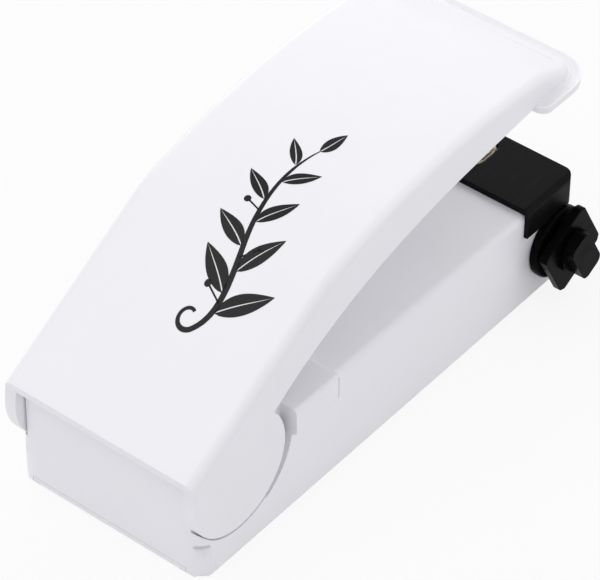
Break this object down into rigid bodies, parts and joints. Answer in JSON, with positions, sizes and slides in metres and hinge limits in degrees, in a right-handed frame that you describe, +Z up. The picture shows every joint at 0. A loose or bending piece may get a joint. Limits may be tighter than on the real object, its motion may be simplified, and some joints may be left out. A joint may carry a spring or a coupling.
{
  "type": "hand-held bag heat sealer",
  "caption": "Palm-sized battery bag sealer: a white hinged press lever over a flat base with a black heated jaw and a black rotary safety switch, shown open.",
  "frame": {"origin": "On the flat underside, straight below the lever's hinge axis, in the middle of the base's width.", "axes": "+X points from the hinge to the jaw, +Y to the left side (the rotary switch is on the right, at -Y), +Z up."},
  "size_m": [0.104, 0.0498, 0.0496],
  "materials": {
    "white_shell": "moulded white ABS, satin",
    "black_trim": "moulded black plastic, semi-gloss",
    "heat_proof_block": "pale heat-proof phenolic, matt",
    "nichrome": "flat resistance strip, dull",
    "glass_tape": "tan non-stick glass-cloth tape",
    "terminal_brass": "brass, plain",
    "cell_jacket": "plain printed steel jacket, no marks",
    "plated_contacts": "nickel-plated strip",
    "spring_steel": "bright steel wire",
    "switch_plastic": "natural nylon",
    "pad_rubber": "red-brown silicone rubber",
    "screw_steel": "zinc-plated steel",
    "lead_red": "red wire insulation",
    "lead_black": "black wire insulation"
  },
  "bodies": {
    "base": {"base_housing": "white_shell", "base_tray": "white_shell", "jaw_cover": "black_trim", "heater_block": "heat_proof_block", "heating_strip": "nichrome", "heat_tape": "glass_tape", "strip_clamps": "terminal_brass", "cell_left": "cell_jacket", "cell_right": "cell_jacket", "rear_bridge_contact": "plated_contacts", "front_positive_contact": "plated_contacts", "front_negative_contact": "plated_contacts", "rear_cell_spring": "spring_steel", "front_cell_spring": "spring_steel", "switch_block": "switch_plastic", "switch_contacts": "plated_contacts", "plunger_spring": "spring_steel", "return_spring": "spring_steel", "knob_bezel": "black_trim", "safety_contacts": "plated_contacts", "base_screws": "screw_steel", "lead_heater": "lead_red", "lead_jumper": "lead_red", "lead_switch": "lead_red", "lead_return": "lead_black"},
    "lever": {"lever_shell": "white_shell", "pad_holder": "black_trim", "press_pad": "pad_rubber", "pad_screws": "screw_steel"},
    "plunger": {"contact_plunger": "switch_plastic", "contact_bridge": "plated_contacts"},
    "knob": {"knob_plate": "black_trim", "knob_grip": "black_trim", "knob_shaft": "spring_steel", "shaft_clip": "spring_steel", "contact_arm": "plated_contacts"},
    "door": {"battery_door": "white_shell"}
  },
  "joints": [
    {"name": "lever_hinge", "type": "hinge", "parent": "base", "child": "lever", "pos_m": [0, 0, 0.0176], "axis": [0, 1, 0], "range_deg": [0, 13], "stiffness_Nm_per_rad": 0.5, "springref_deg": -5.73, "deforming": ["return_spring"]},
    {"name": "plunger_slide", "type": "slide", "parent": "base", "child": "plunger", "axis": [0, 0, -1], "range_m": [0, 0.0015], "stiffness_N_per_m": 120, "springref_m": -0.002, "deforming": ["plunger_spring"]},
    {"name": "knob_turn", "type": "hinge", "parent": "base", "child": "knob", "pos_m": [0.0846, 0, 0.0102], "axis": [0, 1, 0], "range_deg": [0, 90]},
    {"name": "door_slide", "type": "slide", "parent": "base", "child": "door", "axis": [-1, 0, 0], "range_m": [0, 0.012]}
  ],
  "couplings": [
    {"joint": "plunger_slide", "follows": "lever_hinge", "m_per_rad": 0.0066}
  ]
}
